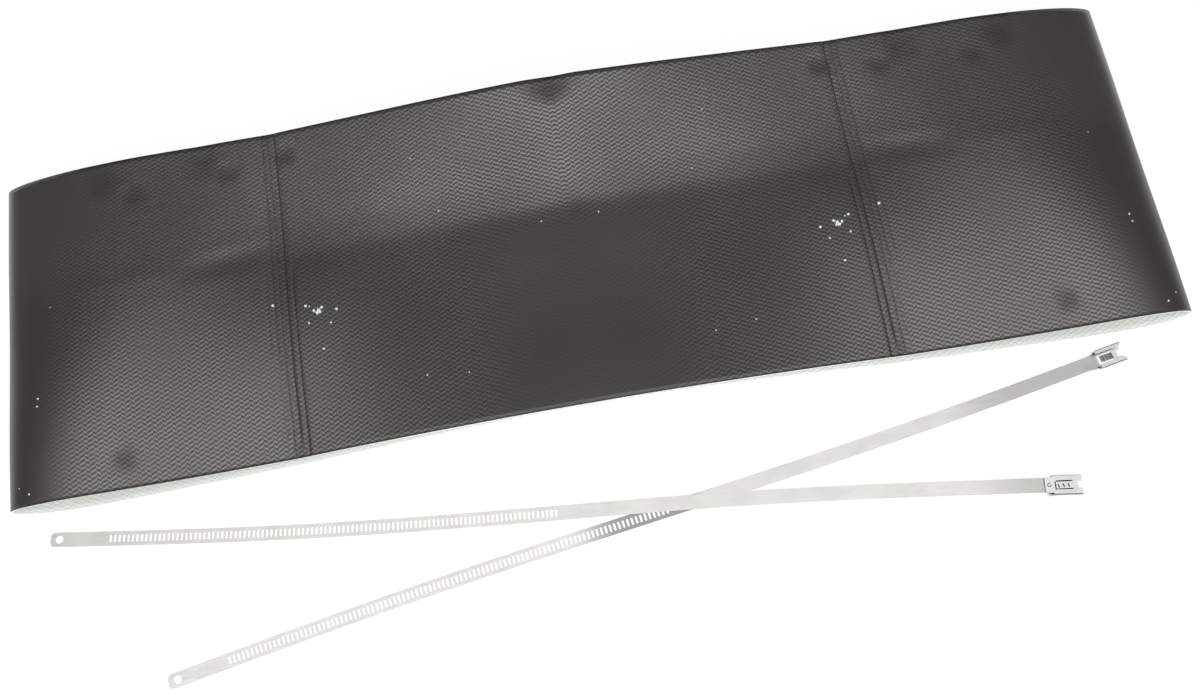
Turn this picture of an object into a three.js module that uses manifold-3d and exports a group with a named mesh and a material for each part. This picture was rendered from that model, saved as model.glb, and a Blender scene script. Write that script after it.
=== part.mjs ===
// Starter heat shield: one coated glass cloth sheet folded into a flat loop, and its two stainless ladder ties
// laid out in front of it. Millimetres, +X along the sheet, +Y towards its back edge, +Z up.
import * as THREE from "three";
import { mergeVertices } from "three/addons/utils/BufferGeometryUtils.js";
import Module from "manifold-3d";

const wasm = await Module();
wasm.setup();

// Sheet
const SHEET_LENGTH = 610; // over the two end folds
const SHEET_WIDTH = 178;
const SHEET_THICKNESS = 1.2;
const FOLD_HEIGHT = 31.4; // the loop's height at its end folds
const FOLD_REACH_FRONT = 50; // how far the upper layer takes to open out from a fold, at the front edge
const FOLD_REACH_BACK = 90;
const FOLD_REACH_UNDER = 25; // the same for the lower layer
const FOOT_LENGTH = 18; // flat stretch of the lower layer that rests on the table beside each fold
const CUT_END_GAP = 4; // between the sheet's two cut ends, under the middle
const LAYER_GAP = 1; // between the two layers where they meet in the middle
const CREASE_OFFSET = 18; // lengthwise crease, behind the middle of the width
const PILLOW = 1.6; // how far each panel between creases stands proud
const MIDDLE_FLAT = 20; // half length over which the two layers lie together
const RAMP_POWER = 1.5; // how the lower layer climbs from its foot to the middle

// Heights of the upper layer along its front edge, its lengthwise crease and its back edge
const FRONT_LINE = { middle: 43.4, cross: 30.5, end: 31.4, belly: -3.5, crown: 2 };
const CREASE_LINE = { middle: 38.5, cross: 32.2, end: 32, belly: 2, crown: 1.6 };
const BACK_LINE = { middle: 46.5, cross: 34, end: 33, belly: 0.5, crown: 1.3 };

// Tie strap
const STRAP_WIDTH = 7.4;
const STRAP_THICKNESS = 0.4;
const STRAP_CORNER = 2.2;
const END_HOLE_DIAMETER = 4.1;
const END_HOLE_INSET = 4.6;
const TAB_LENGTH = 30.5; // free end to the first slot's bay
const SLOT_COUNT = 100;
const SLOT_PITCH = 2.34;
const SLOT_LENGTH = 3.9; // across the strap
const SLOT_WIDTH = 1.2;
const SLOT_CHAMFER = 0.36;
const PLAIN_STEP = 8;

// Tie buckle
const PLATE_THICKNESS = 0.6;
const STRAP_CLEARANCE = 0.7; // beside the strap inside the channel
const BUCKLE_LENGTH = 18.5;
const BUCKLE_WIDTH = STRAP_WIDTH + 2 * (STRAP_CLEARANCE + PLATE_THICKNESS);
const BUCKLE_HEIGHT = 4.2;
const LIP_WIDTH = 1.9;
const BEND_CHAMFER = 0.5;
const LIP_SLANT = 1.4; // the lips' far ends are cut back by this much
const WELD_TAB_LENGTH = 4.2; // plate in front of the side walls, where the strap is spot welded
const WELD_TAB_MARGIN = 0.3; // of the tab's width, beside the strap
const WELD_OVERLAP = 4.6; // how far the strap reaches over the plate
const WELD_DIMPLE_DIAMETER = 2.2;
const WELD_DIMPLE_FLOOR = 1.3; // diameter of the dimple's flat floor
const WELD_DIMPLE_DEPTH = 0.25;
const SEAT_GAP = 0.2; // between a strap and the plate or strap that it lies on
const END_NOTCH_WIDTH = 3.4;
const END_NOTCH_DEPTH = 2.2;
const PLATE_CORNER = 0.8;
const WINDOW_START = WELD_OVERLAP + 1;
const BARB_COUNT = 3;
const BARB_PITCH = 1.9;
const BARB_HEIGHT = 0.55;
const TONGUE_CLEARANCE = 0.6; // round the tongue in its window
const TONGUE_WIDTH = SLOT_LENGTH - 0.5; // the tongue's barbs enter the slots
const TONGUE_RISE = 1.5;
const WINDOW_WIDTH = TONGUE_WIDTH + 2 * TONGUE_CLEARANCE;
const WINDOW_LENGTH = 8.2;
const CUTTER_REACH = 1; // how far a cutting shape passes the surface that it cuts
const ROUND_SIDES = 16; // sides of a small circle

// Layout of the ties in front of the sheet: free end from the sheet's left fold and front edge, sideways bow,
// and the plain strip between the slots and the buckle
const FIRST_TIE_INSET = 11;
const FIRST_TIE_AHEAD = 13.9;
const FIRST_TIE_BOW = -2.5;
const FIRST_TIE_PLAIN = 246;
const SECOND_TIE_INSET = 69;
const SECOND_TIE_AHEAD = 95;
const SECOND_TIE_BOW = 1.8;
const SECOND_TIE_PLAIN = 232;
const TIES = [
  { name: "first_tie", inset: FIRST_TIE_INSET, ahead: FIRST_TIE_AHEAD, bow: FIRST_TIE_BOW,
    plain: FIRST_TIE_PLAIN, heading: -6.6, channelUp: false },
  { name: "second_tie", inset: SECOND_TIE_INSET, ahead: SECOND_TIE_AHEAD, bow: SECOND_TIE_BOW,
    plain: SECOND_TIE_PLAIN, heading: 9.4, channelUp: true },
];
const HUMP_RAMP = 26; // stretch over which the first tie climbs on to the second
const LIFT_REACH = 42; // stretch over which a strap climbs to its buckle's plate

const smooth = (value) => {
  const q = THREE.MathUtils.clamp(value, 0, 1);
  return q * q * (3 - 2 * q);
};

// Folded sheet

const SHEET_HALF = (SHEET_LENGTH - SHEET_THICKNESS) / 2;
const CROSS_CREASE = SHEET_LENGTH / 4;
const TIP_HEIGHT = FOLD_HEIGHT / 2;
const FOOT_END = SHEET_HALF - FOLD_REACH_UNDER - FOOT_LENGTH;

function lineHeight(line, x) {
  const distance = Math.abs(x);
  if (distance <= CROSS_CREASE) {
    return THREE.MathUtils.lerp(line.middle, line.cross, (distance / CROSS_CREASE) ** line.crown);
  }
  const q = (distance - CROSS_CREASE) / (SHEET_LENGTH / 2 - CROSS_CREASE);
  return THREE.MathUtils.lerp(line.cross, line.end, q) + line.belly * Math.sin(Math.PI * q);
}

// Outer height of the upper layer away from the folds
function panelHeight(x, y) {
  const behind = y > CREASE_OFFSET;
  const edge = behind ? BACK_LINE : FRONT_LINE;
  const edgeDistance = behind ? SHEET_WIDTH / 2 - CREASE_OFFSET : SHEET_WIDTH / 2 + CREASE_OFFSET;
  const q = Math.abs(y - CREASE_OFFSET) / edgeDistance;
  const flat = THREE.MathUtils.lerp(lineHeight(CREASE_LINE, x), lineHeight(edge, x), q);
  return flat + PILLOW * Math.sin(Math.PI * q);
}

const foldReach = (y) => THREE.MathUtils.lerp(FOLD_REACH_FRONT, FOLD_REACH_BACK, y / SHEET_WIDTH + 0.5);

// Quarter ellipse from 0 at the fold's tip to 1 at its full reach
const opening = (distance, reach) => Math.sqrt(1 - (1 - Math.min(distance / reach, 1)) ** 2);

function upperHeight(x, y) {
  const full = panelHeight(x, y) - SHEET_THICKNESS / 2 - TIP_HEIGHT;
  return TIP_HEIGHT + full * opening(SHEET_HALF - Math.abs(x), foldReach(y));
}

function lowerHeight(x, y) {
  const flat = SHEET_THICKNESS / 2;
  const fold = TIP_HEIGHT + (flat - TIP_HEIGHT) * opening(SHEET_HALF - Math.abs(x), FOLD_REACH_UNDER);
  const q = THREE.MathUtils.clamp((Math.abs(x) - MIDDLE_FLAT) / (FOOT_END - MIDDLE_FLAT), 0, 1);
  const underUpper = upperHeight(x, y) - SHEET_THICKNESS - LAYER_GAP;
  return fold + (1 - q ** RAMP_POWER) * (underUpper - flat);
}

const spread = (from, to, count) => Array.from({ length: count }, (_, i) => from + ((to - from) * i) / count);

// Middle surface of the right half at one width, from the cut end round the fold to the middle of the top
function halfLoop(y) {
  const reach = foldReach(y);
  const under = [
    ...spread(CUT_END_GAP / 2, MIDDLE_FLAT, 1),
    ...spread(MIDDLE_FLAT, FOOT_END, 10),
    ...spread(FOOT_END, SHEET_HALF - FOLD_REACH_UNDER, 1),
    ...spread(Math.PI / 2, 0, 5).map((turn) => SHEET_HALF - FOLD_REACH_UNDER * (1 - Math.cos(turn))),
  ];
  const over = [
    ...spread(0, Math.PI / 2, 8).map((turn) => SHEET_HALF - reach * (1 - Math.cos(turn))),
    ...spread(SHEET_HALF - reach, CROSS_CREASE, 4),
    ...spread(CROSS_CREASE, 0, 9),
    0,
  ];
  return [
    ...under.map((x) => new THREE.Vector3(x, y, lowerHeight(x, y))),
    ...over.map((x) => new THREE.Vector3(x, y, upperHeight(x, y))),
  ];
}

function fullLoop(y) {
  const right = halfLoop(y);
  const left = right.slice(0, -1).map((p) => new THREE.Vector3(-p.x, p.y, p.z));
  return [...right, ...left.reverse()];
}

function sheetGeometry() {
  const front = spread(-SHEET_WIDTH / 2, CREASE_OFFSET, 7);
  const back = spread(CREASE_OFFSET, SHEET_WIDTH / 2, 5);
  const widths = [...front, ...back, SHEET_WIDTH / 2];
  const loops = widths.map(fullLoop);
  const stations = loops[0].length;
  const positions = [];
  for (const side of [1, -1]) {
    for (const loop of loops) {
      loop.forEach((point, i) => {
        const before = loop[Math.max(i - 1, 0)];
        const after = loop[Math.min(i + 1, stations - 1)];
        const outward = new THREE.Vector3(after.z - before.z, 0, before.x - after.x).normalize();
        const vertex = point.clone().addScaledVector(outward, (side * SHEET_THICKNESS) / 2);
        positions.push(vertex.x, vertex.y, vertex.z);
      });
    }
  }
  const rows = widths.length;
  const outer = (row, i) => row * stations + i;
  const inner = (row, i) => rows * stations + outer(row, i);
  const indices = [];
  const quad = (a, b, c, d) => indices.push(a, c, b, a, d, c);
  for (let row = 0; row < rows - 1; row += 1) {
    for (let i = 0; i < stations - 1; i += 1) {
      quad(outer(row, i), outer(row, i + 1), outer(row + 1, i + 1), outer(row + 1, i));
      quad(inner(row, i), inner(row + 1, i), inner(row + 1, i + 1), inner(row, i + 1));
    }
    const end = stations - 1;
    quad(outer(row, 0), outer(row + 1, 0), inner(row + 1, 0), inner(row, 0));
    quad(outer(row, end), inner(row, end), inner(row + 1, end), outer(row + 1, end));
  }
  const last = rows - 1;
  for (let i = 0; i < stations - 1; i += 1) {
    quad(outer(0, i), inner(0, i), inner(0, i + 1), outer(0, i + 1));
    quad(outer(last, i), outer(last, i + 1), inner(last, i + 1), inner(last, i));
  }
  const geometry = new THREE.BufferGeometry();
  geometry.setAttribute("position", new THREE.Float32BufferAttribute(positions, 3));
  geometry.setIndex(indices);
  return geometry;
}

// Tie straps

const slotStart = TAB_LENGTH;
const slotEnd = TAB_LENGTH + SLOT_COUNT * SLOT_PITCH;
const strapLength = (tie) => slotEnd + tie.plain + WELD_OVERLAP;
const plateStart = (tie) => slotEnd + tie.plain;
const tieLength = (tie) => plateStart(tie) + BUCKLE_LENGTH;
const tieStart = (tie) => new THREE.Vector2(tie.inset - SHEET_LENGTH / 2, -tie.ahead - SHEET_WIDTH / 2);

// Underside height of a strap where it lies over its buckle's plate
const plateSeat = (tie) => (tie.channelUp ? PLATE_THICKNESS + SEAT_GAP
  : BUCKLE_HEIGHT - PLATE_THICKNESS - SEAT_GAP - STRAP_THICKNESS);

// A point of the tie's centre line in the plan, with its direction
function planAt(tie, s) {
  const angle = THREE.MathUtils.degToRad(tie.heading);
  const along = new THREE.Vector2(Math.cos(angle), Math.sin(angle));
  const across = new THREE.Vector2(-along.y, along.x);
  const turn = (2 * Math.PI * s) / tieLength(tie);
  const point = tieStart(tie).addScaledVector(along, s);
  point.addScaledVector(across, tie.bow * Math.sin(turn));
  const slope = (tie.bow * Math.cos(turn) * 2 * Math.PI) / tieLength(tie);
  const direction = along.addScaledVector(across, slope).normalize();
  return { point, direction };
}

// Where the two ties cross, as the distance along the first one
function crossingDistance() {
  const [first, second] = TIES;
  const steps = 400;
  let best = { s: 0, gap: Infinity };
  for (let i = 0; i <= steps; i += 1) {
    const s = (tieLength(first) * i) / steps;
    const here = planAt(first, s).point;
    const heading = THREE.MathUtils.degToRad(second.heading);
    const reach = (here.x - tieStart(second).x) / Math.cos(heading);
    const gap = Math.abs(here.y - planAt(second, reach).point.y);
    if (gap < best.gap) best = { s, gap };
  }
  return best.s;
}

const crossing = crossingDistance();
const crossingAngle = THREE.MathUtils.degToRad(TIES[1].heading - TIES[0].heading);
const crossingReach = STRAP_WIDTH / 2 / Math.tan(crossingAngle / 2) + PLAIN_STEP;

function strapRest(tie, s) {
  const climb = plateSeat(tie) * smooth((s - plateStart(tie) + LIFT_REACH) / LIFT_REACH);
  if (tie.channelUp) return climb;
  const beyond = Math.abs(s - crossing) - crossingReach;
  const hump = (STRAP_THICKNESS + SEAT_GAP) * smooth(1 - beyond / HUMP_RAMP);
  return Math.max(climb, hump);
}

function rectangle(from, to) {
  const half = STRAP_WIDTH / 2;
  return [[from, -half], [to, -half], [to, half], [from, half]].map((p) => new THREE.Vector2(...p));
}

// Free end with rounded corners, up to a straight cut at the given distance
function roundedEnd(to) {
  const half = STRAP_WIDTH / 2;
  const corner = (y, from) => [...spread(from, from + Math.PI / 2, 4), from + Math.PI / 2].map(
    (turn) => new THREE.Vector2(STRAP_CORNER * (1 + Math.cos(turn)), y + STRAP_CORNER * Math.sin(turn)));
  const upper = corner(half - STRAP_CORNER, Math.PI / 2);
  const lower = corner(STRAP_CORNER - half, Math.PI);
  return [new THREE.Vector2(to, -half), new THREE.Vector2(to, half), ...upper, ...lower];
}

function roundHole(centre, diameter) {
  return spread(0, -2 * Math.PI, ROUND_SIDES).map((turn) => new THREE.Vector2(
    centre + (diameter / 2) * Math.cos(turn), (diameter / 2) * Math.sin(turn)));
}

function slot(centre) {
  const [half, end, chamfer] = [SLOT_WIDTH / 2, SLOT_LENGTH / 2, SLOT_CHAMFER];
  const corner = [[half, end - chamfer], [half - chamfer, end]];
  const quarters = [[1, 1, false], [-1, 1, true], [-1, -1, false], [1, -1, true]];
  const points = quarters.flatMap(([sx, sy, flip]) => {
    const pair = corner.map(([x, y]) => [x * sx, y * sy]);
    return flip ? pair.reverse() : pair;
  });
  const ordered = points.map(([x, y]) => new THREE.Vector2(centre + x, y));
  return THREE.ShapeUtils.isClockWise(ordered) ? ordered : ordered.reverse();
}

// The strap is cut into bays, each a flat outline with at most one hole, so that every slot bends with it
function strapBays(tie) {
  const tabCut = 2 * END_HOLE_INSET;
  const bays = [{ to: tabCut, outline: roundedEnd(tabCut), hole: roundHole(END_HOLE_INSET, END_HOLE_DIAMETER) }];
  const plainRun = (from, to) => {
    const cuts = [...spread(from, to, Math.ceil((to - from) / PLAIN_STEP)), to];
    cuts.slice(1).forEach((cut, i) => bays.push({ to: cut, outline: rectangle(cuts[i], cut) }));
  };
  plainRun(tabCut, slotStart);
  for (let i = 0; i < SLOT_COUNT; i += 1) {
    const from = slotStart + i * SLOT_PITCH;
    const to = slotStart + (i + 1) * SLOT_PITCH;
    bays.push({ to, outline: rectangle(from, to), hole: slot((from + to) / 2) });
  }
  plainRun(slotEnd, strapLength(tie));
  return bays;
}

function strapGeometry(tie) {
  const positions = [];
  const place = ({ x, y }, top) => {
    const { point, direction } = planAt(tie, x);
    positions.push(point.x - direction.y * y, point.y + direction.x * y,
      strapRest(tie, x) + (top ? STRAP_THICKNESS : 0));
  };
  const wall = (a, b) => {
    [[a, false], [b, false], [b, true], [a, false], [b, true], [a, true]].forEach(([p, top]) => place(p, top));
  };
  const end = strapLength(tie);
  let from = 0;
  for (const { to, outline, hole } of strapBays(tie)) {
    const rings = hole ? [outline, hole] : [outline];
    const points = rings.flat();
    for (const face of THREE.ShapeUtils.triangulateShape(outline, rings.slice(1))) {
      face.forEach((i) => place(points[i], true));
      face.slice().reverse().forEach((i) => place(points[i], false));
    }
    for (const ring of rings) {
      ring.forEach((a, i) => {
        const b = ring[(i + 1) % ring.length];
        const shared = a.x === b.x && ((a.x === from && from > 0) || (a.x === to && to < end));
        if (!shared) wall(a, b);
      });
    }
    from = to;
  }
  const geometry = new THREE.BufferGeometry();
  geometry.setAttribute("position", new THREE.Float32BufferAttribute(positions, 3));
  return mergeVertices(geometry, 1e-4);
}

// Tie buckles, in their own frame: +X away from the strap, +Z out of the channel

function toSolid(geometry) {
  geometry.deleteAttribute("normal");
  geometry.deleteAttribute("uv");
  const merged = mergeVertices(geometry, 1e-5);
  return new wasm.Manifold(new wasm.Mesh({
    numProp: 3,
    vertProperties: new Float32Array(merged.attributes.position.array),
    triVerts: new Uint32Array(merged.index.array),
  }));
}

function toGeometry(solid) {
  const { vertProperties, triVerts } = solid.getMesh();
  const geometry = new THREE.BufferGeometry();
  geometry.setAttribute("position", new THREE.Float32BufferAttribute(vertProperties, 3));
  geometry.setIndex([...triVerts]);
  return geometry;
}

const shapeOf = (points) => new THREE.Shape(points.map((p) => new THREE.Vector2(...p)));

// Outline in the plan, given a thickness
function flatPiece(shape, bottom, top) {
  return new THREE.ExtrudeGeometry(shape, { depth: top - bottom, bevelEnabled: false }).translate(0, 0, bottom);
}

// Section across the strap (Y, Z), run along X
function railPiece(points, from, to) {
  const geometry = new THREE.ExtrudeGeometry(shapeOf(points), { depth: to - from, bevelEnabled: false });
  const axes = [new THREE.Vector3(0, 1, 0), new THREE.Vector3(0, 0, 1), new THREE.Vector3(1, 0, 0)];
  return geometry.applyMatrix4(new THREE.Matrix4().makeBasis(...axes)).translate(from, 0, 0);
}

// Side profile (X, Z), centred across the strap
function profilePiece(points, width) {
  const geometry = new THREE.ExtrudeGeometry(shapeOf(points), { depth: width, bevelEnabled: false });
  return geometry.rotateX(Math.PI / 2).translate(0, width / 2, 0);
}

// Base plate: a narrower weld tab in front, the notched end behind
function basePlate() {
  const [half, tab, corner] = [BUCKLE_WIDTH / 2, STRAP_WIDTH / 2 + WELD_TAB_MARGIN, PLATE_CORNER];
  const notch = END_NOTCH_WIDTH / 2;
  const upper = [
    [0, tab - corner], [corner, tab], [WELD_TAB_LENGTH, tab], [WELD_TAB_LENGTH, half - BEND_CHAMFER],
    [BUCKLE_LENGTH, half - BEND_CHAMFER], [BUCKLE_LENGTH, notch], [BUCKLE_LENGTH - END_NOTCH_DEPTH, notch],
  ];
  const lower = upper.map(([x, y]) => [x, -y]).reverse();
  const shape = shapeOf([...upper, ...lower]);
  const [from, to, side] = [WINDOW_START, WINDOW_START + WINDOW_LENGTH, WINDOW_WIDTH / 2];
  shape.holes.push(new THREE.Path([[from, -side], [to, -side], [to, side], [from, side]].map(
    (p) => new THREE.Vector2(...p))));
  return toSolid(flatPiece(shape, 0, PLATE_THICKNESS));
}

// One side wall with its turned-in lip; the lip's far end is cut on a slant
function sideWall(side) {
  const [half, wall, top] = [BUCKLE_WIDTH / 2, PLATE_THICKNESS, BUCKLE_HEIGHT];
  const lip = half - LIP_WIDTH;
  const section = [
    [half - wall, 0], [half - BEND_CHAMFER, 0], [half, BEND_CHAMFER], [half, top - BEND_CHAMFER],
    [half - BEND_CHAMFER, top], [lip, top], [lip, top - wall], [half - wall, top - wall],
  ].map(([y, z]) => [y * side, z]);
  const rail = toSolid(railPiece(side > 0 ? section : section.reverse(), WELD_TAB_LENGTH, BUCKLE_LENGTH));
  const [near, far] = [(lip - CUTTER_REACH) * side, BUCKLE_LENGTH + CUTTER_REACH];
  const slant = shapeOf([
    [BUCKLE_LENGTH - LIP_SLANT, near], [far, near], [far, half * side], [BUCKLE_LENGTH, half * side],
  ]);
  return rail.subtract(toSolid(flatPiece(slant, top - 2 * wall, top + wall)));
}

// Tongue lanced from the plate: joined at the far side of its window, rising towards the strap
function tongue() {
  const root = WINDOW_START + WINDOW_LENGTH;
  const tip = WINDOW_START + TONGUE_CLEARANCE;
  const [rise, plate, overlap] = [TONGUE_RISE, PLATE_THICKNESS, root + CUTTER_REACH];
  let solid = toSolid(profilePiece([[tip, rise], [root, 0], [overlap, 0], [overlap, plate], [root, plate],
    [tip, rise + plate]], TONGUE_WIDTH));
  for (let i = 0; i < BARB_COUNT; i += 1) {
    const foot = tip + TONGUE_CLEARANCE + i * BARB_PITCH;
    const surface = (x) => plate + (rise * (root - x)) / (root - tip);
    const barb = [[foot, surface(foot) - plate / 2], [foot + plate, surface(foot + plate) - plate / 2],
      [foot + plate, surface(foot + plate)], [foot, surface(foot) + BARB_HEIGHT]];
    solid = solid.add(toSolid(profilePiece(barb, TONGUE_WIDTH)));
  }
  return solid;
}

function weldDimple() {
  const [mouth, floor, depth] = [WELD_DIMPLE_DIAMETER / 2, WELD_DIMPLE_FLOOR / 2, WELD_DIMPLE_DEPTH];
  const profile = [[0, -CUTTER_REACH], [mouth, -CUTTER_REACH], [mouth, 0], [floor, depth], [0, depth]];
  const geometry = new THREE.LatheGeometry(profile.map((p) => new THREE.Vector2(...p)), ROUND_SIDES);
  return toSolid(geometry.rotateX(Math.PI / 2).translate(WELD_TAB_LENGTH / 2, 0, 0));
}

function buckleGeometry() {
  const solid = basePlate().add(sideWall(1)).add(sideWall(-1)).add(tongue()).subtract(weldDimple());
  return toGeometry(solid);
}

function buckleMatrix(tie) {
  const { point, direction } = planAt(tie, plateStart(tie));
  const along = new THREE.Vector3(direction.x, direction.y, 0);
  const up = new THREE.Vector3(0, 0, tie.channelUp ? 1 : -1);
  const across = new THREE.Vector3().crossVectors(up, along);
  const bottom = tie.channelUp ? 0 : BUCKLE_HEIGHT;
  return new THREE.Matrix4().makeBasis(along, across, up).setPosition(point.x, point.y, bottom);
}

// Materials and assembly

const coatedCloth = new THREE.MeshStandardMaterial({ color: 0x464442, roughness: 0.5, metalness: 0 });
const stainlessStrip = new THREE.MeshStandardMaterial({ color: 0xd9d5cf, roughness: 0.32, metalness: 0.9 });
const stainlessBuckle = new THREE.MeshStandardMaterial({ color: 0xc9c8c5, roughness: 0.28, metalness: 0.95 });

function named(name, geometry, material) {
  const mesh = new THREE.Mesh(geometry, material);
  mesh.name = name;
  return mesh;
}

function tieGroup(tie) {
  const group = new THREE.Group();
  const buckle = named(`${tie.name}_buckle`, buckleGeometry(), stainlessBuckle);
  buckleMatrix(tie).decompose(buckle.position, buckle.quaternion, buckle.scale);
  group.add(named(`${tie.name}_strap`, strapGeometry(tie), stainlessStrip), buckle);
  return group;
}

const starterHeatShield = new THREE.Group();
starterHeatShield.add(named("shield_sheet", sheetGeometry(), coatedCloth), ...TIES.map(tieGroup));

// The origin is under the middle of the whole layout, at table height
const extent = new THREE.Box3().setFromObject(starterHeatShield, true);
const centre = extent.getCenter(new THREE.Vector3());
starterHeatShield.position.set(-centre.x, -centre.y, -extent.min.z);

export default starterHeatShield;
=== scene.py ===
"""Starter heat shield: the looks of the folded sheet and its two ladder ties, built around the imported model.

Metres, +X along the sheet, +Y towards its back edge, +Z up. Sizes named _MM are in millimetres.
"""

import math

import bpy
import numpy as np
from mathutils import Matrix, Vector


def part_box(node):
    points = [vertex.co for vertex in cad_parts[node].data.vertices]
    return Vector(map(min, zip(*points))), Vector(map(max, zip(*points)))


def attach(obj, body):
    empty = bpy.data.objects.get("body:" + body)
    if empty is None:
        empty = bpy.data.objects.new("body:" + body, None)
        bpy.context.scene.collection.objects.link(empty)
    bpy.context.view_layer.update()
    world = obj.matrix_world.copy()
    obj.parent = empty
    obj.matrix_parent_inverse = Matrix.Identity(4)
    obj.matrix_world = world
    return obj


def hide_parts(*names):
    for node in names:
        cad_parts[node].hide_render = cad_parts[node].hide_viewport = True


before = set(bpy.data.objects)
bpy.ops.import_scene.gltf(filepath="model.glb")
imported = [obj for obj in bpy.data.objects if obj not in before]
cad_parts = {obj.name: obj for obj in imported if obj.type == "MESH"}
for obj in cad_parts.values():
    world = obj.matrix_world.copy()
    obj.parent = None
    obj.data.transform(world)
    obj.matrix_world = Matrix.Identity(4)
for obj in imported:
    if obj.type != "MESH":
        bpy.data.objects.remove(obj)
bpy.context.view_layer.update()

MM = 0.001

# The sheet's driving sizes, as in the part's source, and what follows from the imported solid
SHEET_LOW, SHEET_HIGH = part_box("shield_sheet")
SHEET_MIDDLE = (SHEET_LOW + SHEET_HIGH) / 2
SHEET_LENGTH_MM = (SHEET_HIGH.x - SHEET_LOW.x) / MM
SHEET_WIDTH_MM = (SHEET_HIGH.y - SHEET_LOW.y) / MM
THICKNESS_MM = 1.2
FOLD_HEIGHT_MM = 31.4
FOLD_REACH_FRONT_MM = 50
FOLD_REACH_BACK_MM = 90
FOLD_REACH_UNDER_MM = 25
FOOT_LENGTH_MM = 18
CUT_END_GAP_MM = 4
LAYER_GAP_MM = 1
CREASE_OFFSET_MM = 18
PILLOW_MM = 1.6
MIDDLE_FLAT_MM = 20
RAMP_POWER = 1.5
FRONT_LINE = {"middle": 43.4, "cross": 30.5, "end": 31.4, "belly": -3.5, "crown": 2}
CREASE_LINE = {"middle": 38.5, "cross": 32.2, "end": 32, "belly": 2, "crown": 1.6}
BACK_LINE = {"middle": 46.5, "cross": 34, "end": 33, "belly": 0.5, "crown": 1.3}

HALF_MM = (SHEET_LENGTH_MM - THICKNESS_MM) / 2
CROSS_CREASE_MM = SHEET_LENGTH_MM / 4
TIP_MM = FOLD_HEIGHT_MM / 2
FOOT_END_MM = HALF_MM - FOLD_REACH_UNDER_MM - FOOT_LENGTH_MM

# The panels' hollows: the front one sinks by this much from its pillow form, fading out between two places
FRONT_HOLLOW_MM = 3.1
HOLLOW_END_MM = (70, 150)
BACK_PILLOW_MM = -0.6

# Mesh steps of the sheet, finer where the cross creases are
ACROSS_STEP_MM = 2.5
ALONG_STEP_MM = 2.5
UNDER_STEP_MM = 5
PLEAT_BAND_MM = (143, 165)
PLEAT_STEP_MM = 0.8
UNDER_FOLD_STEPS = 14
OVER_FOLD_STEPS = 32
OUTER_STEPS = 28


def smooth_bump(distance, reach):
    """1 at distance 0 and 0 beyond reach, with a round top and foot."""
    q = np.clip(1 - distance / reach, 0, 1)
    return q * q * (3 - 2 * q)


def line_height(line, x):
    """Height of one of the lines along the sheet: a crown between the cross creases, a belly beyond them."""
    distance = np.abs(x)
    inner = line["middle"] + (line["cross"] - line["middle"]) * (distance / CROSS_CREASE_MM) ** line["crown"]
    q = (distance - CROSS_CREASE_MM) / (SHEET_LENGTH_MM / 2 - CROSS_CREASE_MM)
    outer = line["cross"] + (line["end"] - line["cross"]) * q + line["belly"] * np.sin(np.pi * q)
    return np.where(distance <= CROSS_CREASE_MM, inner, outer)


def panel_height(x, y):
    """Outer height of the upper layer away from the folds."""
    behind = y > CREASE_OFFSET_MM
    edge = np.where(behind, line_height(BACK_LINE, x), line_height(FRONT_LINE, x))
    reach = np.where(behind, SHEET_WIDTH_MM / 2 - CREASE_OFFSET_MM, SHEET_WIDTH_MM / 2 + CREASE_OFFSET_MM)
    q = np.abs(y - CREASE_OFFSET_MM) / reach
    crease = line_height(CREASE_LINE, x)
    inward = smooth_bump(np.maximum(np.abs(x) - HOLLOW_END_MM[0], 0), HOLLOW_END_MM[1] - HOLLOW_END_MM[0])
    pillow = np.where(behind, BACK_PILLOW_MM, PILLOW_MM - FRONT_HOLLOW_MM * inward)
    return crease + (edge - crease) * q + pillow * np.sin(np.pi * q)


def fold_reach(y):
    """How far the upper layer takes to open from a fold, at one width."""
    return FOLD_REACH_FRONT_MM + (FOLD_REACH_BACK_MM - FOLD_REACH_FRONT_MM) * (y / SHEET_WIDTH_MM + 0.5)


def opening(distance, reach):
    """Quarter ellipse from 0 at the fold's tip to 1 at its full reach."""
    return np.sqrt(np.maximum(0, 1 - (1 - np.minimum(distance / reach, 1)) ** 2))


def upper_height(x, y):
    """Height of the upper layer's middle surface."""
    full = panel_height(x, y) - THICKNESS_MM / 2 - TIP_MM
    return TIP_MM + full * opening(HALF_MM - np.abs(x), fold_reach(y))


def lower_height(x, y):
    """Height of the lower layer's middle surface: under the upper one in the middle, flat near the folds."""
    flat = THICKNESS_MM / 2
    fold = TIP_MM + (flat - TIP_MM) * opening(HALF_MM - np.abs(x), FOLD_REACH_UNDER_MM)
    q = np.clip((np.abs(x) - MIDDLE_FLAT_MM) / (FOOT_END_MM - MIDDLE_FLAT_MM), 0, 1)
    under_upper = upper_height(x, y) - THICKNESS_MM - LAYER_GAP_MM
    return fold + (1 - q**RAMP_POWER) * (under_upper - flat)


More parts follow.
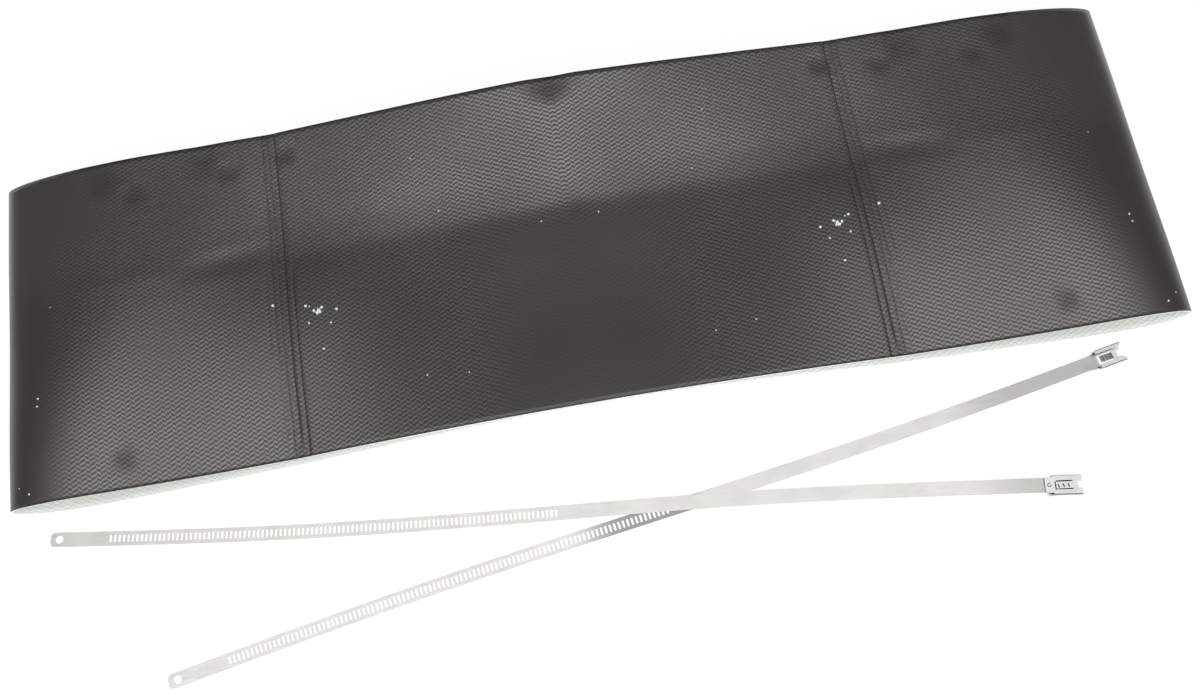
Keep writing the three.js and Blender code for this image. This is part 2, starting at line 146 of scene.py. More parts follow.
def loop_stations(y):
    """X of the right half's stations at one width, on the lower layer and then on the upper one."""
    under_fold = HALF_MM - FOLD_REACH_UNDER_MM
    reach = fold_reach(y)
    turn = np.pi / 2
    near, far = PLEAT_BAND_MM
    under = np.concatenate([
        np.linspace(CUT_END_GAP_MM / 2, under_fold, round(under_fold / UNDER_STEP_MM), endpoint=False),
        HALF_MM - FOLD_REACH_UNDER_MM * (1 - np.cos(np.linspace(turn, 0, UNDER_FOLD_STEPS, endpoint=False))),
    ])
    over = np.concatenate([
        HALF_MM - reach * (1 - np.cos(np.linspace(0, turn, OVER_FOLD_STEPS, endpoint=False))),
        np.linspace(HALF_MM - reach, far, OUTER_STEPS, endpoint=False),
        np.linspace(far, near, round((far - near) / PLEAT_STEP_MM), endpoint=False),
        np.linspace(near, 0, round(near / ALONG_STEP_MM)),
    ])
    return under, over


def sheet_surface():
    """Middle surface of the loop as a grid (rows across, stations along), in sheet-centred millimetres."""
    rows = np.linspace(-SHEET_WIDTH_MM / 2, SHEET_WIDTH_MM / 2, round(SHEET_WIDTH_MM / ACROSS_STEP_MM) + 1)
    grid = []
    for y in rows:
        under, over = loop_stations(y)
        x = np.concatenate([under, over])
        z = np.concatenate([lower_height(under, y), upper_height(over, y)])
        half = np.stack([x, np.full_like(x, y), z], 1)
        mirrored = half[:-1][::-1] * [-1, 1, 1]
        grid.append(np.concatenate([half, mirrored]))
    return np.array(grid)


def grid_normals(grid):
    """Outward unit normals of the grid."""
    along = np.gradient(grid, axis=1)
    across = np.gradient(grid, axis=0)
    normal = np.cross(across, along)
    return normal / np.linalg.norm(normal, axis=2, keepdims=True)


# Creases and dents of the upper layer, in sheet-centred millimetres, the same on both sides of the middle
DIMPLES = [  # place from the middle, width place, radius, depth
    (245, 80, 15, 0.5),
    (229, 68, 10, 0.35),
    (190, 81, 15, 0.5),
    (177, 71, 9, 0.25),
    (145, 76, 9, 0.3),
    (242, -74, 10, 0.3),
    (0, 90, 17, 1.2),
]
PLEATS = [  # place from the middle, front end, back end, depth
    (146.7, -95, 5, 0.9),
    (150.6, -75, 95, 1.0),
    (154.4, -95, 95, 0.5),
    (157.4, -30, 95, 0.6),
    (161.0, -30, 3, 0.45),
]
PLEAT_RELIEF_MM = 0.25
PLEAT_RADIUS_MM = 1.7
PLEAT_FADE_MM = 12
VALLEY = {"from": 211, "slope": 0.09, "middle": 182, "reach": 38, "radius": 10, "depth": 0.4}
MIDDLE_GROOVE = {"place": 4, "radius": 9, "end": 25, "fade": 15, "depth": 0.35}
WAVES = {"along": 21, "across": 17, "slant": 60, "start": 0.6, "depth": 0.25}


def relief(grid):
    """How far each point of the sheet stands out of its smooth form, along its normal."""
    x, y = np.abs(grid[:, :, 0]), grid[:, :, 1]
    upper = np.zeros(grid.shape[:2])
    first_over = len(loop_stations(0)[0])
    upper[:, first_over:grid.shape[1] - first_over] = 1
    out = np.zeros(grid.shape[:2])
    for place, front, back, depth in PLEATS:
        length = smooth_bump(np.maximum(front - y, y - back), PLEAT_FADE_MM)
        out -= PLEAT_RELIEF_MM * depth * smooth_bump(np.abs(x - place), PLEAT_RADIUS_MM) * length
    valley_y = CREASE_OFFSET_MM + VALLEY["slope"] * (VALLEY["from"] - x)
    valley = smooth_bump(np.abs(y - valley_y), VALLEY["radius"])
    out -= VALLEY["depth"] * valley * smooth_bump(np.abs(x - VALLEY["middle"]), VALLEY["reach"])
    groove = smooth_bump(np.abs(grid[:, :, 0] - MIDDLE_GROOVE["place"]), MIDDLE_GROOVE["radius"])
    groove = groove * smooth_bump(np.maximum(MIDDLE_GROOVE["end"] - y, 0), MIDDLE_GROOVE["fade"])
    out -= MIDDLE_GROOVE["depth"] * groove
    for cx, cy, radius, depth in DIMPLES:
        out -= depth * smooth_bump(np.hypot(x - cx, y - cy), radius)
    wave = np.sin(x / WAVES["along"] + WAVES["start"]) * np.sin(y / WAVES["across"] + x / WAVES["slant"])
    out += WAVES["depth"] * wave
    return out * upper


def flat_places(grid):
    """Each point's place on the flat sheet: the way along it from the top's middle, and the width."""
    steps = np.linalg.norm(np.diff(grid, axis=1), axis=2)
    way = np.concatenate([np.zeros((grid.shape[0], 1)), np.cumsum(steps, axis=1)], axis=1)
    middle = way[:, grid.shape[1] // 2][:, None]
    return np.stack([way - middle, grid[:, :, 1], np.zeros(grid.shape[:2])], axis=2)


def build_sheet(materials):
    """The folded sheet as one mesh, and the flat places of its points."""
    grid = sheet_surface()
    normals = grid_normals(grid)
    grid = grid + normals * relief(grid)[:, :, None]
    places = flat_places(grid)
    rows, stations = grid.shape[:2]
    outer = grid + normals * THICKNESS_MM / 2
    inner = grid - normals * THICKNESS_MM / 2
    shift = np.array([SHEET_MIDDLE.x, SHEET_MIDDLE.y, 0]) / MM
    points = (np.concatenate([outer.reshape(-1, 3), inner.reshape(-1, 3)]) + shift) * MM
    index = np.arange(rows * stations).reshape(rows, stations)
    back = index + rows * stations

    def quads(a, b, c, d):
        return np.stack([a, b, c, d], axis=-1).reshape(-1, 4)

    outside = quads(index[:-1, :-1], index[1:, :-1], index[1:, 1:], index[:-1, 1:])
    inside = quads(back[:-1, :-1], back[:-1, 1:], back[1:, 1:], back[1:, :-1])
    edges = np.concatenate([
        quads(index[0, :-1], index[0, 1:], back[0, 1:], back[0, :-1]),
        quads(index[-1, 1:], index[-1, :-1], back[-1, :-1], back[-1, 1:]),
        quads(index[1:, 0], index[:-1, 0], back[:-1, 0], back[1:, 0]),
        quads(index[:-1, -1], index[1:, -1], back[1:, -1], back[:-1, -1]),
    ])
    faces = np.concatenate([outside, inside, edges])
    mesh = bpy.data.meshes.new("shield_cloth")
    mesh.from_pydata([tuple(p) for p in points], [], [tuple(int(i) for i in f) for f in faces])
    slots = np.concatenate([np.zeros(len(outside)), np.ones(len(inside)), np.full(len(edges), 2)])
    mesh.polygons.foreach_set("material_index", slots.astype(np.int32))
    smooth = np.concatenate([np.ones(len(outside) + len(inside)), np.zeros(len(edges))])
    mesh.polygons.foreach_set("use_smooth", smooth.astype(bool))
    flat = mesh.attributes.new("flat_place", "FLOAT_VECTOR", "POINT")
    doubled = np.concatenate([places.reshape(-1, 3), places.reshape(-1, 3)]) * MM
    flat.data.foreach_set("vector", doubled.astype(np.float32).ravel())
    mesh.update()
    piece = bpy.data.objects.new("shield_cloth", mesh)
    bpy.context.scene.collection.objects.link(piece)
    for material in materials:
        mesh.materials.append(material)
    return piece, places


class Nodes:
    """A material's node tree, with short calls for what the materials share."""

    def __init__(self, name):
        self.material = bpy.data.materials.new(name)
        self.material.use_nodes = True
        self.tree = self.material.node_tree
        self.tree.nodes.clear()
        self.shader = self.tree.nodes.new("ShaderNodeBsdfPrincipled")
        output = self.tree.nodes.new("ShaderNodeOutputMaterial")
        self.tree.links.new(self.shader.outputs[0], output.inputs["Surface"])

    def put(self, socket, value):
        if isinstance(value, bpy.types.NodeSocket):
            self.tree.links.new(value, socket)
        elif value is not None:
            socket.default_value = value

    def math(self, operation, a, b=None, c=None):
        node = self.tree.nodes.new("ShaderNodeMath")
        node.operation = operation
        for socket, value in zip(node.inputs, (a, b, c)):
            self.put(socket, value)
        return node.outputs[0]

    def mix(self, share, a, b):
        node = self.tree.nodes.new("ShaderNodeMix")
        node.data_type = "RGBA"
        self.put(node.inputs["Factor"], share)
        self.put(node.inputs["A"], a)
        self.put(node.inputs["B"], b)
        return node.outputs["Result"]

    def ramp(self, value, low, high, to_low=0.0, to_high=1.0):
        node = self.tree.nodes.new("ShaderNodeMapRange")
        node.interpolation_type = "SMOOTHSTEP"
        for name, v in (("Value", value), ("From Min", low), ("From Max", high), ("To Min", to_low),
                        ("To Max", to_high)):
            self.put(node.inputs[name], v)
        return node.outputs["Result"]

    def ramp_mm(self, value, step, to_low=0.0, to_high=1.0):
        return self.ramp(value, step[0] * MM, step[1] * MM, to_low, to_high)

    def noise(self, place, scale, detail=2.0, roughness=0.5):
        node = self.tree.nodes.new("ShaderNodeTexNoise")
        self.put(node.inputs["Vector"], place)
        for name, v in (("Scale", scale), ("Detail", detail), ("Roughness", roughness)):
            self.put(node.inputs[name], v)
        return node.outputs["Fac"]

    def attribute(self, name):
        node = self.tree.nodes.new("ShaderNodeAttribute")
        node.attribute_name = name
        return node.outputs["Vector"]

    def object_place(self):
        return self.tree.nodes.new("ShaderNodeTexCoord").outputs["Object"]

    def distance(self, vector, point):
        node = self.tree.nodes.new("ShaderNodeVectorMath")
        node.operation = "DISTANCE"
        self.put(node.inputs[0], vector)
        self.put(node.inputs[1], point)
        return node.outputs["Value"]

    def split(self, vector):
        node = self.tree.nodes.new("ShaderNodeSeparateXYZ")
        self.put(node.inputs[0], vector)
        return node.outputs["X"], node.outputs["Y"], node.outputs["Z"]

    def join(self, x, y, z=0.0):
        node = self.tree.nodes.new("ShaderNodeCombineXYZ")
        for socket, value in zip(node.inputs, (x, y, z)):
            self.put(socket, value)
        return node.outputs[0]

    def bump(self, height, strength, distance, normal=None):
        node = self.tree.nodes.new("ShaderNodeBump")
        self.put(node.inputs["Strength"], strength)
        self.put(node.inputs["Distance"], distance)
        self.put(node.inputs["Height"], height)
        self.put(node.inputs["Normal"], normal)
        return node.outputs[0]

    def set(self, **values):
        for name, value in values.items():
            self.put(self.shader.inputs[name.replace("_", " ")], value)


# The woven relief: a herringbone of slanted floats in narrow columns, each half a row out of step
COLUMN_PAIR_MM = 5.0
FLOAT_ROW_MM = 2.38
FLOAT_SLOPE = 0.4
LONG_SHARE = 0.6  # share of a column pair that the longer floats take
TURN_MM = (45, 75)  # the longer floats change sides between these places from the middle
YARN_WOBBLE_MM = 0.9
FLOAT_EDGES = (0.42, 0.08)  # foot and top of a float's side, in rows from its middle


def float_rows(nodes, y_steps, x_mm, slope, shift):
    """1 along the middle of the floats of one column and 0 between them."""
    v = nodes.math("MULTIPLY_ADD", x_mm, -slope / FLOAT_ROW_MM, nodes.math("ADD", y_steps, shift))
    away = nodes.math("ABSOLUTE", nodes.math("SUBTRACT", nodes.math("FRACT", v), 0.5))
    return nodes.ramp(away, *FLOAT_EDGES)


def floats(nodes, place):
    """The cloth's relief from 0 to 1, mirrored about its middle, with a little unevenness in the yarn."""
    x, y, _ = nodes.split(place)
    x = nodes.math("ABSOLUTE", x)
    wobble = nodes.math("SUBTRACT", nodes.noise(place, 130.0), 0.5)
    moved = nodes.math("MULTIPLY_ADD", wobble, YARN_WOBBLE_MM * MM, y)
    y_steps = nodes.math("DIVIDE", moved, FLOAT_ROW_MM * MM)
    column = nodes.math("FRACT", nodes.math("DIVIDE", x, COLUMN_PAIR_MM * MM))
    share = nodes.ramp_mm(x, TURN_MM, 1 - LONG_SHARE, LONG_SHARE)
    first = nodes.math("LESS_THAN", column, share)
    first_mm = nodes.math("MULTIPLY", nodes.math("MULTIPLY_ADD", share, -0.5, column), COLUMN_PAIR_MM)
    middle = nodes.math("MULTIPLY_ADD", share, 0.5, 0.5)
    second_mm = nodes.math("MULTIPLY", nodes.math("SUBTRACT", column, middle), COLUMN_PAIR_MM)
    rising = float_rows(nodes, y_steps, first_mm, -FLOAT_SLOPE, 0.0)
    falling = float_rows(nodes, y_steps, second_mm, FLOAT_SLOPE, 0.5)
    return nodes.math("ADD", nodes.math("MULTIPLY", rising, first),
                      nodes.math("MULTIPLY", falling, nodes.math("SUBTRACT", 1.0, first)))


# How far noise moves a spot's outline, and where it then ends, in radii
SCUFF_RAGGED = 2.2
SCUFF_REACH = 1.8
SPOT_UNEVEN = 1.6

# Worn spots where the white cloth shows through: place from the middle, width place, radius
SCUFFS = [
    (134.8, -15.8, 1.9), (133.2, -14.0, 1.2), (137.2, -15.0, 1.0), (125.4, -16.4, 1.0), (141.4, -11.6, 0.9),
    (139.4, -12.2, 0.6), (140.3, -21.0, 0.7), (129.0, -23.0, 0.6), (158.5, -8.0, 0.9), (134.0, -36.0, 0.8),
    (284.0, -35.0, 0.8), (284.3, -39.0, 0.6), (15.0, 11.0, 0.5), (78.0, 58.5, 0.5), (67.0, 27.1, 0.45),
    (83.0, -59.7, 0.5), (62.0, -62.4, 0.5), (276.3, 13.0, 0.5), (291.0, -83.0, 0.8), (297.0, -79.0, 0.6),
]


def scuffs(nodes, mirrored):
    """1 on the worn spots and 0 elsewhere, with ragged outlines."""
    ragged = nodes.noise(mirrored, 900.0, 2.0, 0.6)
    spots = None
    for x, y, radius in SCUFFS:
        away = nodes.distance(mirrored, (x * MM, y * MM, 0))
        torn = nodes.math("MULTIPLY_ADD", ragged, SCUFF_RAGGED * radius * MM, away)
        spot = nodes.math("LESS_THAN", torn, SCUFF_REACH * radius * MM)
        spots = spot if spots is None else nodes.math("MAXIMUM", spots, spot)
    return spots


def dimple_painted_shade(nodes, mirrored):
    """Painted shade in the dimples: 1 in their middle and 0 beyond them."""
    uneven = nodes.math("SUBTRACT", nodes.noise(mirrored, 75.0, 2.0, 0.5), 0.5)
    spots = None
    for x, y, radius, _ in DIMPLES:
        away = nodes.distance(mirrored, (x * MM, y * MM, 0))
        away = nodes.math("MULTIPLY_ADD", uneven, SPOT_UNEVEN * radius * MM, away)
        spot = nodes.ramp(away, radius * MM, 0.1 * radius * MM)
        spots = spot if spots is None else nodes.math("MAXIMUM", spots, spot)
    return spots


# Foot and top of a crease line's side, from its middle, and how far its ends fade
LINE_EDGES_MM = (0.45, 0.1)
LINE_FADE_MM = 9


def crease_lines_and_painted_shade(nodes, x, y, broken):
    """1 along the hard cross creases and 0 away from them, broken up by the weave: the lines sink the creases
    and paint shade into them.
    """
    lines = None
    for place, front, back, depth in PLEATS:
        away = nodes.math("ABSOLUTE", nodes.math("SUBTRACT", x, place * MM))
        line = nodes.ramp_mm(away, LINE_EDGES_MM, 0.0, depth)
        for end, fade in ((front, -LINE_FADE_MM), (back, LINE_FADE_MM)):
            line = nodes.math("MULTIPLY", line, nodes.ramp(y, (end + fade) * MM, end * MM))
        lines = line if lines is None else nodes.math("MAXIMUM", lines, line)
    return nodes.math("MULTIPLY", lines, nodes.ramp(broken, 0.30, 0.5, 0.35, 1.0))


# Where the coating's painted sheen and shade change by panel, from none of each effect to all of it, and by
# how much
FRONT_Y_MM = (26, 8)
INNER_X_MM = (150, 90)
BEHIND_Y_MM = (20, 42)
AWAY_FROM_FOLD_MM = (260, 120)
OUTWARD_X_MM = (20, 90)
GLOSS_AT_FOLD = 0.3
BEHIND_GLOSS = (0.55, 0.75)
FRONT_LOSS = 0.28
INNER_LOSS = 0.24


def painted_sheen_by_panel(nodes, x, y):
    """How much the coating shines, as painted sheen and shade by panel: less on the front panel and its
    middle, more behind the crease.
    """
    front = nodes.ramp_mm(y, FRONT_Y_MM)
    inner = nodes.ramp_mm(x, INNER_X_MM)
    behind = nodes.ramp_mm(y, BEHIND_Y_MM)
    behind = nodes.math("MULTIPLY", behind, nodes.ramp_mm(x, AWAY_FROM_FOLD_MM, GLOSS_AT_FOLD))
    raised = nodes.math("MULTIPLY", behind, nodes.ramp_mm(x, OUTWARD_X_MM, *BEHIND_GLOSS))
    share = nodes.math("MULTIPLY_ADD", front, -FRONT_LOSS, 1.0)
    share = nodes.math("MULTIPLY_ADD", nodes.math("MULTIPLY", front, inner), -INNER_LOSS, share)
    return nodes.math("ADD", share, raised)


WEAVE_END_MM = (288, 262)  # the weave fades out between these places on the way to a fold
UNDERSIDE_MM = 325  # the weave is back at this way from the middle, on the lower layer
CORNER_X_MM = (225, 262)  # the weave is faint beyond these places in the back corners
CORNER_Y_MM = (28, 62)
CORNER_LOSS = 0.75
PRESSED_X_MM = (75, 25)  # the weave is pressed smooth in the middle of the front panel
PRESSED_Y_MM = (20, 2)
PRESSED_LOSS = 0.8
PLEATED_MIDDLE_MM = 152.5  # the cross creases break the weave round this place
PLEATED_EDGES_MM = (7.5, 4.5)

# The coating's colours, and how its gloss from 0 to 1 sets its roughness and reflection, and its painted shade
# Painted shade: the colour darkens towards this one where the gloss is low, between the floats and in the
# dimples, crease lines and shaded panels
COATING_SHADE_COLOUR = (0.013, 0.0125, 0.012, 1)
COATING_COLOURS = ((0.036, 0.034, 0.032, 1), (0.046, 0.038, 0.031, 1))
WORN_COLOUR = (0.85, 0.88, 0.92, 1)
GLOSS_TINT = (1.0, 0.965, 0.925, 1)
COATING_IOR = 2.3
WOVEN_GLOSS = (0.62, 0.24)
PLAIN_GLOSS = 0.45
DIMPLE_SHADE_LOSS = 0.42
LINE_SHADE_LOSS = 0.85
DULL_ROUGHNESS = 0.46
GLOSS_SMOOTHS = 0.24
GLOSS_LIMIT = 0.8
LEAST_SPECULAR = 0.12


def weave_shown(nodes, x, y, patch):
    """How far the weave shows: not on the folds, faintly in the back corners and the pressed middle."""
    under = nodes.math("GREATER_THAN", x, UNDERSIDE_MM * MM)
    fold = nodes.math("MAXIMUM", nodes.ramp_mm(x, WEAVE_END_MM), under)
    corner = nodes.math("MULTIPLY", nodes.ramp_mm(x, CORNER_X_MM), nodes.ramp_mm(y, CORNER_Y_MM))
    shown = nodes.math("MULTIPLY", fold, nodes.math("MULTIPLY_ADD", corner, -CORNER_LOSS, 1.0))
    pressed = nodes.math("MULTIPLY", nodes.ramp_mm(x, PRESSED_X_MM), nodes.ramp_mm(y, PRESSED_Y_MM))
    shown = nodes.math("MULTIPLY", shown, nodes.math("MULTIPLY_ADD", pressed, -PRESSED_LOSS, 1.0))
    return nodes.math("MULTIPLY", shown, nodes.ramp(patch, 0.25, 0.6, 0.6, 1.0))


def broken_weave(nodes, place, x, broken):
    """The weave's relief, with part of it taken out where the cross creases are."""
    away = nodes.math("ABSOLUTE", nodes.math("SUBTRACT", x, PLEATED_MIDDLE_MM * MM))
    pleated = nodes.ramp_mm(away, PLEATED_EDGES_MM)
    loss = nodes.math("MULTIPLY", pleated, -0.5)
    kept = nodes.math("MULTIPLY_ADD", loss, nodes.ramp(broken, 0.42, 0.58, 1.0, 0.0), 1.0)
    return nodes.math("MULTIPLY", floats(nodes, place), kept)


def coated_cloth():
    """The black coating over the cloth: its weave, worn spots, crease lines and uneven shine, with painted
    sheen and shade by panel.
    """
    nodes = Nodes("coated_cloth")
    place = nodes.attribute("flat_place")
    x, y, _ = nodes.split(place)
    x = nodes.math("ABSOLUTE", x)
    mirrored = nodes.join(x, y)
    patch = nodes.noise(mirrored, 22.0, 3.0, 0.6)
    broken = nodes.noise(mirrored, 520.0, 2.0, 0.6)
    grain = nodes.noise(place, 1500.0, 2.0, 0.7)
    shown = weave_shown(nodes, x, y, patch)
    weave = broken_weave(nodes, place, x, broken)
    plain = nodes.math("SUBTRACT", 1.0, shown)
    woven = nodes.math("MULTIPLY_ADD", weave, *WOVEN_GLOSS)
    gloss = nodes.math("MULTIPLY_ADD", plain, PLAIN_GLOSS, nodes.math("MULTIPLY", woven, shown))
    # Painted shade in the dimples lowers the gloss and so darkens the colour
    spots = nodes.math("MULTIPLY_ADD", dimple_painted_shade(nodes, mirrored), -DIMPLE_SHADE_LOSS, 1.0)
    gloss = nodes.math("MULTIPLY", gloss, spots)
    # Painted sheen and shade by panel, in both the gloss and the colour
    gloss = nodes.math("MULTIPLY", gloss, painted_sheen_by_panel(nodes, x, y))
    lines = crease_lines_and_painted_shade(nodes, x, y, broken)
    # Painted shade along the crease lines: less gloss and a darker colour
    gloss = nodes.math("MULTIPLY", gloss, nodes.math("MULTIPLY_ADD", lines, -LINE_SHADE_LOSS, 1.0))
    worn = scuffs(nodes, mirrored)
    warm = nodes.mix(nodes.ramp(patch, 0.45, 0.7), *COATING_COLOURS)
    # Painted shade where the gloss is low
    base = nodes.mix(gloss, COATING_SHADE_COLOUR, warm)
    nodes.set(Base_Color=nodes.mix(worn, base, WORN_COLOUR))
    smoothed = nodes.math("MINIMUM", gloss, GLOSS_LIMIT)
    nodes.set(Roughness=nodes.math("MULTIPLY_ADD", smoothed, -GLOSS_SMOOTHS, DULL_ROUGHNESS))
    specular = nodes.math("MULTIPLY_ADD", gloss, 1 - LEAST_SPECULAR, LEAST_SPECULAR)
    nodes.set(Specular_IOR_Level=specular, Specular_Tint=GLOSS_TINT, IOR=COATING_IOR)
    raised = nodes.math("SUBTRACT", nodes.math("MULTIPLY", weave, shown), nodes.math("MULTIPLY", lines, 1.5))
    soft = nodes.bump(raised, 0.3, 0.00012)
    nodes.set(Normal=nodes.bump(grain, 0.05, 0.00006, soft))
    return nodes.material


def glass_cloth(name, colour, dim):
    """White woven glass cloth, with painted shade between its floats."""
    nodes = Nodes(name)
    place = nodes.attribute("flat_place")
    relief_height = floats(nodes, place)
    grain = nodes.noise(place, 900.0, 3.0, 0.7)
    # Painted shade between the floats
    shade = nodes.math("MULTIPLY", nodes.math("SUBTRACT", 1.0, relief_height), dim)
    nodes.set(Base_Color=nodes.mix(shade, colour, (0.42, 0.44, 0.42, 1)), Roughness=0.75)
    nodes.set(Normal=nodes.bump(relief_height, 0.5, 0.0002, nodes.bump(grain, 0.3, 0.0002)))
    return nodes.material


# Cuts round the first buckle's tongue and its three barbs, painted dark as shade, from the buckle's middle and
# along its heading
TONGUE_HEADING = -6.6
TONGUE_END_MM = -4.3
TONGUE_HALF_WIDTH_MM = 2.1
BARB_PLACES_MM = (-2.3, 0.1, 2.4)
BARB_HALF_LENGTH_MM = 0.95
BARB_SLANT = 0.28
CUT_HALF_WIDTH_MM = 0.24


def tongue_cut_shade(nodes):
    """1 in the cuts of the first buckle's back, painted dark as shade, and 0 elsewhere."""
    low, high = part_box("first_tie_buckle")
    x, y, _ = nodes.split(nodes.object_place())
    x = nodes.math("SUBTRACT", x, (low.x + high.x) / 2)
    y = nodes.math("SUBTRACT", y, (low.y + high.y) / 2)
    turn = math.radians(TONGUE_HEADING)
    along = nodes.math("MULTIPLY_ADD", x, math.cos(turn), nodes.math("MULTIPLY", y, math.sin(turn)))
    across = nodes.math("MULTIPLY_ADD", y, math.cos(turn), nodes.math("MULTIPLY", x, -math.sin(turn)))
    cuts = None
    places = [(TONGUE_END_MM, TONGUE_HALF_WIDTH_MM, 0)]
    places += [(place, BARB_HALF_LENGTH_MM, BARB_SLANT) for place in BARB_PLACES_MM]
    for place, half_length, slant in places:
        off = nodes.math("MULTIPLY_ADD", across, slant, nodes.math("SUBTRACT", along, place * MM))
        line = nodes.ramp(nodes.math("ABSOLUTE", off), CUT_HALF_WIDTH_MM * 1.5 * MM, CUT_HALF_WIDTH_MM * MM)
        ends = nodes.ramp(nodes.math("ABSOLUTE", across), (half_length + 0.1) * MM, (half_length - 0.1) * MM)
        cut_shade = nodes.math("MULTIPLY", line, ends)
        cuts = cut_shade if cuts is None else nodes.math("MAXIMUM", cuts, cut_shade)
    return cuts


STRAP_COLOUR = (0.70, 0.685, 0.665, 1)
STRAP_ROUGHNESS = 0.34
BUCKLE_COLOUR = (0.62, 0.615, 0.61, 1)
BUCKLE_ROUGHNESS = 0.27
BUCKLE_EDGE_MM = 0.12
# Painted shade inside the first buckle's cuts
CUT_SHADE_COLOUR = (0.03, 0.03, 0.03, 1)
SHADED_COLOUR = (0.22, 0.22, 0.215, 1)
CLOUD_AND_SHADE_SHARE = 0.7  # the darker steel's share of its colour, for its faint cloudiness and its painted shade
PAINTED_SHADE_FROM_MM = (165, 215)  # painted shade darkens the straps between these places, towards their buckles
SHADED_MM = (-30, 0, 36, 44)  # where the second strap darkens on its way under the first


def brushed_steel(name, colour, roughness, painted_shade_end, cut_shade=False, shaded=False):
    """Rolled steel: fine streaks along the strip, a faint cloudiness, and painted shade that darkens stretches
    by place.
    """
    nodes = Nodes(name)
    x, y, z = nodes.split(nodes.object_place())
    streaks = nodes.noise(nodes.join(nodes.math("MULTIPLY", x, 0.04), y, z), 4000.0, 2.0, 0.6)
    cloud = nodes.noise(nodes.object_place(), 60.0, 2.0, 0.5)
    # Painted shade towards the buckles, together with the faint cloudiness
    cloud_and_shade = nodes.math("MAXIMUM", nodes.math("MULTIPLY", nodes.ramp(cloud, 0.3, 0.7), 0.25),
                      nodes.ramp_mm(x, PAINTED_SHADE_FROM_MM, 0.0, painted_shade_end))
    cloud_and_shade_colour = [CLOUD_AND_SHADE_SHARE * c for c in colour[:3]] + [1]
    shade = nodes.mix(cloud_and_shade, colour, cloud_and_shade_colour)
    if shaded:
        start, full, fade, end = (place * MM for place in SHADED_MM)
        under = nodes.math("MULTIPLY", nodes.ramp(x, start, full), nodes.ramp(x, end, fade))
        shade = nodes.mix(nodes.math("MULTIPLY", under, 0.8), shade, SHADED_COLOUR)
    if cut_shade:
        # Painted shade in the tongue's cuts
        shade = nodes.mix(tongue_cut_shade(nodes), shade, CUT_SHADE_COLOUR)
    nodes.set(Base_Color=shade)
    nodes.set(Roughness=nodes.ramp(streaks, 0.3, 0.7, roughness - 0.05, roughness + 0.07), Metallic=1.0)
    nodes.set(Normal=nodes.bump(streaks, 0.08, 0.00003))
    return nodes.material


def dress_ties():
    """Materials, soft edges and slots of the ties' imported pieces."""
    strap = (STRAP_COLOUR, STRAP_ROUGHNESS, 1.0)
    straps = {
        "first_tie": brushed_steel("strap_steel_over", *strap),
        "second_tie": brushed_steel("strap_steel_under", *strap, shaded=True),
    }
    buckle = (BUCKLE_COLOUR, BUCKLE_ROUGHNESS, 0.0)
    buckles = {
        "first_tie": brushed_steel("buckle_steel_back", *buckle, cut_shade=True),
        "second_tie": brushed_steel("buckle_steel_inside", *buckle),
    }
    for tie in ("first_tie", "second_tie"):
        for part, material in (("strap", straps[tie]), ("buckle", buckles[tie])):
            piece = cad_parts[f"{tie}_{part}"]
            piece.data.materials.clear()
            piece.data.materials.append(material)
            if part == "buckle":
                bevel = piece.modifiers.new("soft_edges", "BEVEL")
                bevel.width = BUCKLE_EDGE_MM * MM
                bevel.segments = 2
                bevel.limit_method = "ANGLE"


# Camera, lights and floor

CAMERA_PLACE = Vector((1.04, -150.60, 531.27)) * MM
CAMERA_TURN = (-1.16, 74.26, -8.52)  # azimuth, angle below the horizon and roll, in degrees
CAMERA_LENS = 30.94
FRAME_WIDTH = 36


def place_camera():
    """The photograph's camera, as fitted to the sheet's four corners."""
    azimuth, below, roll = (math.radians(a) for a in CAMERA_TURN)
    ahead = math.cos(below)
    look = Vector((-math.sin(azimuth) * ahead, math.cos(azimuth) * ahead, -math.sin(below)))
    level = Vector((math.cos(azimuth), math.sin(azimuth), 0))
    upward = level.cross(look)
    right = math.cos(roll) * level + math.sin(roll) * upward
    up = -math.sin(roll) * level + math.cos(roll) * upward
    camera = bpy.data.objects.new("camera", bpy.data.cameras.new("camera"))
    camera.data.lens = CAMERA_LENS
    camera.data.sensor_width = FRAME_WIDTH
    camera.data.clip_start = 0.01
    turn = Matrix((right, up, -look)).transposed()
    camera.matrix_world = Matrix.Translation(CAMERA_PLACE) @ turn.to_4x4()
    bpy.context.scene.collection.objects.link(camera)
    bpy.context.scene.camera = camera


def area_light(name, place, target, size, power):
    light = bpy.data.lights.new(name, "AREA")
    light.shape = "RECTANGLE"
    light.size, light.size_y = size
    light.energy = power
    lamp = bpy.data.objects.new(name, light)
    lamp.location = place
    lamp.rotation_euler = (Vector(target) - Vector(place)).to_track_quat("-Z", "Y").to_euler()
    bpy.context.scene.collection.objects.link(lamp)
    return lamp


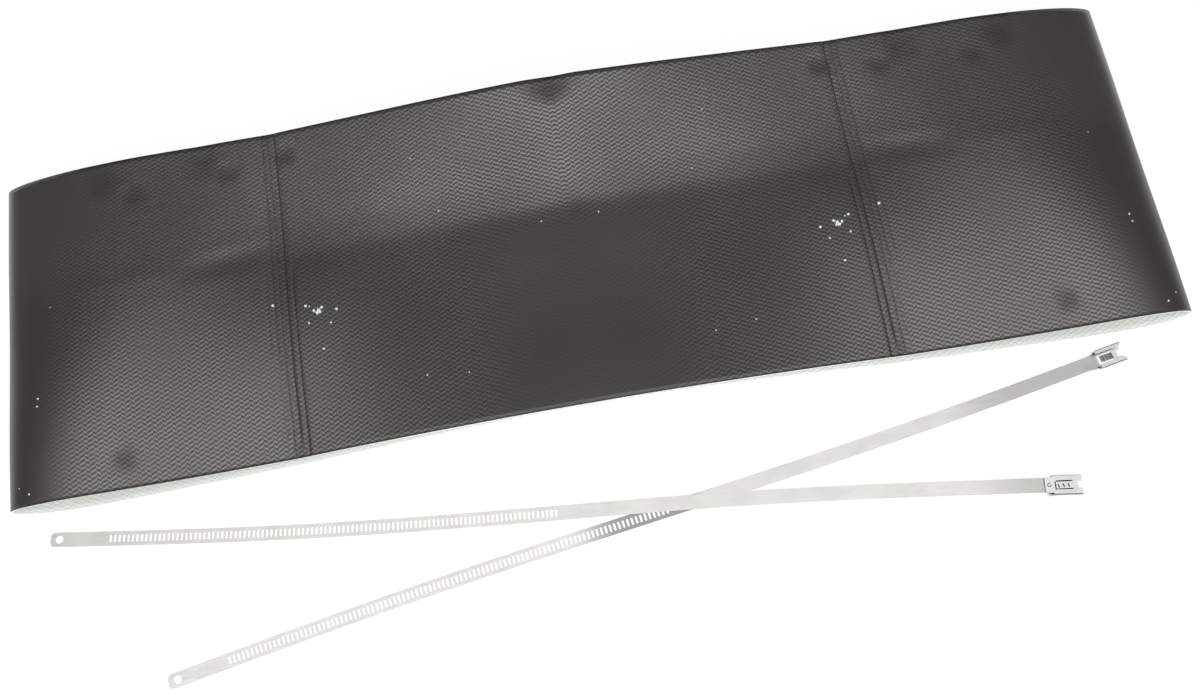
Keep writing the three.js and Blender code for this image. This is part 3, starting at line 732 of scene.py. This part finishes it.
OVERHEAD = {"place": (0, -0.45, 1.5), "target": (0, -0.45, 0), "size": (2.8, 1.75), "power": 20}
FILL = {"place": (0, -1.6, 1.3), "target": (0, 0, 0), "size": (1.5, 0.9), "power": 24}
FLOOR_HALF_SIDE = 60.0
FLOOR_GLOW = 0.88
WORLD_GLOW = 0.12
BUCKLE_SHADE_EDGE_MM = 3.6


def painted_buckle_shadow(nodes):
    """The floor's glow, put out beneath the closed back of the first buckle: a painted shadow."""
    low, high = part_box("first_tie_buckle")
    x, y, _ = nodes.split(nodes.object_place())
    edge = BUCKLE_SHADE_EDGE_MM * MM
    inside = None
    for value, near, far in ((x, low.x, high.x), (y, low.y, high.y)):
        away = nodes.math("ABSOLUTE", nodes.math("SUBTRACT", value, (near + far) / 2))
        share = nodes.ramp(away, (far - near) / 2 - 0.3 * edge, (far - near) / 2 - edge)
        inside = share if inside is None else nodes.math("MULTIPLY", inside, share)
    return nodes.math("MULTIPLY_ADD", inside, -FLOOR_GLOW, FLOOR_GLOW)


def light_and_floor():
    """A glowing white floor with a painted shadow under the first buckle, a faint white surrounding and two
    soft lights.
    """
    nodes = Nodes("floor_white")
    nodes.set(Base_Color=(0.2, 0.2, 0.2, 1), Roughness=0.9, Specular_IOR_Level=0.0)
    nodes.set(Emission_Color=(1, 1, 1, 1), Emission_Strength=painted_buckle_shadow(nodes))
    side = FLOOR_HALF_SIDE
    corners = [(-side, -side, 0), (side, -side, 0), (side, side, 0), (-side, side, 0)]
    mesh = bpy.data.meshes.new("floor")
    mesh.from_pydata(corners, [], [(0, 1, 2, 3)])
    mesh.materials.append(nodes.material)
    floor = bpy.data.objects.new("floor", mesh)
    bpy.context.scene.collection.objects.link(floor)
    world = bpy.data.worlds.new("studio")
    bpy.context.scene.world = world
    world.use_nodes = True
    world.node_tree.nodes["Background"].inputs[0].default_value = (1, 1, 1, 1)
    world.node_tree.nodes["Background"].inputs[1].default_value = WORLD_GLOW
    area_light("overhead", **OVERHEAD)
    fill = area_light("fill", **FILL)
    fill.visible_glossy = False
    bpy.context.scene.view_settings.view_transform = "Standard"


place_camera()
light_and_floor()
inside = glass_cloth("glass_cloth", (0.84, 0.86, 0.82, 1), 0.3)
cut_edge = glass_cloth("cut_edge", (0.92, 0.93, 0.92, 1), 0.1)
sheet, places = build_sheet([coated_cloth(), inside, cut_edge])
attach(sheet, "root")
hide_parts("shield_sheet")
dress_ties()
